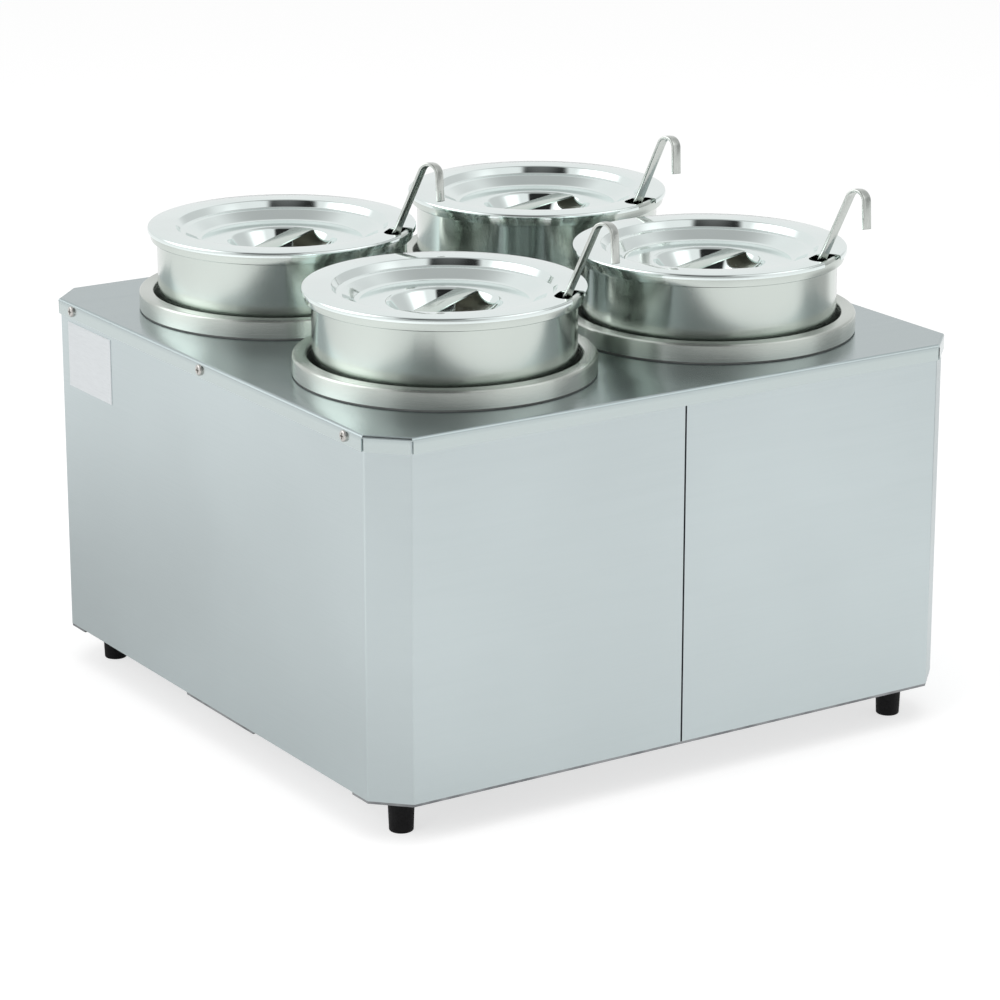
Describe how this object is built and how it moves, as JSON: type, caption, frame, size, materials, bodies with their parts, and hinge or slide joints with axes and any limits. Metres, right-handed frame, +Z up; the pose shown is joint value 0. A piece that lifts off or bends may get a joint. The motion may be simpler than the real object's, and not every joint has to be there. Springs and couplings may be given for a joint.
{
  "type": "countertop food warmer",
  "caption": "Square countertop food warmer in stainless steel with round wells in a two by two grid, lidded pots and hooked ladles.",
  "frame": {"origin": "on the table under the middle of the whole footprint, knobs included", "axes": "+Z up, -Y towards the plain front face with the seam, +Y towards the control face, +X to the right seen from the front"},
  "size_m": [0.4516, 0.4684, 0.3689],
  "materials": {
    "brushed_stainless": "brushed",
    "polished_stainless": "polished",
    "zinc_steel": "dull zinc plate",
    "screw_steel": "plated",
    "black_rubber": "matte",
    "heater_aluminium": "cast",
    "plate_aluminium": "satin",
    "insulation_wool": "matte",
    "black_plastic": "matte",
    "ceramic_white": "glazed",
    "lamp_amber": "gloss",
    "lead_sleeve": "matte"
  },
  "bodies": {
    "casing": {"top_deck": "brushed_stainless", "left_panel": "brushed_stainless", "right_panel": "brushed_stainless", "control_plate_left": "brushed_stainless", "control_plate_right": "brushed_stainless", "well_front_left": "brushed_stainless", "well_front_right": "brushed_stainless", "well_back_left": "brushed_stainless", "well_back_right": "brushed_stainless", "well_floors": "brushed_stainless", "bottom_pan": "zinc_steel", "heater_clamps": "zinc_steel", "foot_fixings": "screw_steel", "deck_screws": "screw_steel", "base_screws": "screw_steel", "seam_screws": "screw_steel", "control_plate_screws": "screw_steel", "heater_nuts": "screw_steel", "thermostat_nuts": "screw_steel", "foot_front_left": "black_rubber", "foot_front_right": "black_rubber", "foot_back_left": "black_rubber", "foot_back_right": "black_rubber", "well_seals": "black_rubber", "heaters": "heater_aluminium", "rating_plate": "plate_aluminium", "insulation_sleeves": "insulation_wool", "thermostat_front_left": "black_plastic", "thermostat_front_right": "black_plastic", "thermostat_back_left": "black_plastic", "thermostat_back_right": "black_plastic", "cord_gland": "black_plastic", "gland_nut": "black_plastic", "terminal_block": "ceramic_white", "pilot_lamps": "lamp_amber", "heater_leads": "lead_sleeve"},
    "pot_front_left": {"pot_front_left": "polished_stainless"},
    "lid_front_left": {"lid_front_left": "polished_stainless", "lid_handle_front_left": "polished_stainless"},
    "ladle_front_left": {"ladle_front_left": "polished_stainless"},
    "knob_front_left": {"knob_front_left": "black_plastic", "thermostat_shaft_front_left": "screw_steel"},
    "pot_front_right": {"pot_front_right": "polished_stainless"},
    "lid_front_right": {"lid_front_right": "polished_stainless", "lid_handle_front_right": "polished_stainless"},
    "ladle_front_right": {"ladle_front_right": "polished_stainless"},
    "knob_front_right": {"knob_front_right": "black_plastic", "thermostat_shaft_front_right": "screw_steel"},
    "pot_back_left": {"pot_back_left": "polished_stainless"},
    "lid_back_left": {"lid_back_left": "polished_stainless", "lid_handle_back_left": "polished_stainless"},
    "ladle_back_left": {"ladle_back_left": "polished_stainless"},
    "knob_back_left": {"knob_back_left": "black_plastic", "thermostat_shaft_back_left": "screw_steel"},
    "pot_back_right": {"pot_back_right": "polished_stainless"},
    "lid_back_right": {"lid_back_right": "polished_stainless", "lid_handle_back_right": "polished_stainless"},
    "ladle_back_right": {"ladle_back_right": "polished_stainless"},
    "knob_back_right": {"knob_back_right": "black_plastic", "thermostat_shaft_back_right": "screw_steel"}
  },
  "joints": [
    {"name": "pot_front_left_lift", "type": "slide", "parent": "casing", "child": "pot_front_left", "axis": [0, 0, 1], "range_m": [0, 0.16]},
    {"name": "lid_front_left_lift", "type": "slide", "parent": "pot_front_left", "child": "lid_front_left", "axis": [0, 0, 1], "range_m": [0, 0.1]},
    {"name": "ladle_front_left_draw", "type": "slide", "parent": "pot_front_left", "child": "ladle_front_left", "axis": [0.2351, -0.3121, 0.9205], "range_m": [0, 0.11]},
    {"name": "knob_front_left_turn", "type": "hinge", "parent": "casing", "child": "knob_front_left", "pos_m": [-0.13825, 0.21375, 0.072], "axis": [0, -1, 0], "range_deg": [0, 270]},
    {"name": "pot_front_right_lift", "type": "slide", "parent": "casing", "child": "pot_front_right", "axis": [0, 0, 1], "range_m": [0, 0.16]},
    {"name": "lid_front_right_lift", "type": "slide", "parent": "pot_front_right", "child": "lid_front_right", "axis": [0, 0, 1], "range_m": [0, 0.1]},
    {"name": "ladle_front_right_draw", "type": "slide", "parent": "pot_front_right", "child": "ladle_front_right", "axis": [0.1774, -0.3481, 0.9205], "range_m": [0, 0.11]},
    {"name": "knob_front_right_turn", "type": "hinge", "parent": "casing", "child": "knob_front_right", "pos_m": [0.13825, 0.21375, 0.072], "axis": [0, -1, 0], "range_deg": [0, 270]},
    {"name": "pot_back_left_lift", "type": "slide", "parent": "casing", "child": "pot_back_left", "axis": [0, 0, 1], "range_m": [0, 0.16]},
    {"name": "lid_back_left_lift", "type": "slide", "parent": "pot_back_left", "child": "lid_back_left", "axis": [0, 0, 1], "range_m": [0, 0.1]},
    {"name": "ladle_back_left_draw", "type": "slide", "parent": "pot_back_left", "child": "ladle_back_left", "axis": [0.2459, -0.3037, 0.9205], "range_m": [0, 0.11]},
    {"name": "knob_back_left_turn", "type": "hinge", "parent": "casing", "child": "knob_back_left", "pos_m": [-0.06825, 0.21375, 0.072], "axis": [0, -1, 0], "range_deg": [0, 270]},
    {"name": "pot_back_right_lift", "type": "slide", "parent": "casing", "child": "pot_back_right", "axis": [0, 0, 1], "range_m": [0, 0.16]},
    {"name": "lid_back_right_lift", "type": "slide", "parent": "pot_back_right", "child": "lid_back_right", "axis": [0, 0, 1], "range_m": [0, 0.1]},
    {"name": "ladle_back_right_draw", "type": "slide", "parent": "pot_back_right", "child": "ladle_back_right", "axis": [0.1651, -0.3541, 0.9205], "range_m": [0, 0.11]},
    {"name": "knob_back_right_turn", "type": "hinge", "parent": "casing", "child": "knob_back_right", "pos_m": [0.06825, 0.21375, 0.072], "axis": [0, -1, 0], "range_deg": [0, 270]}
  ]
}
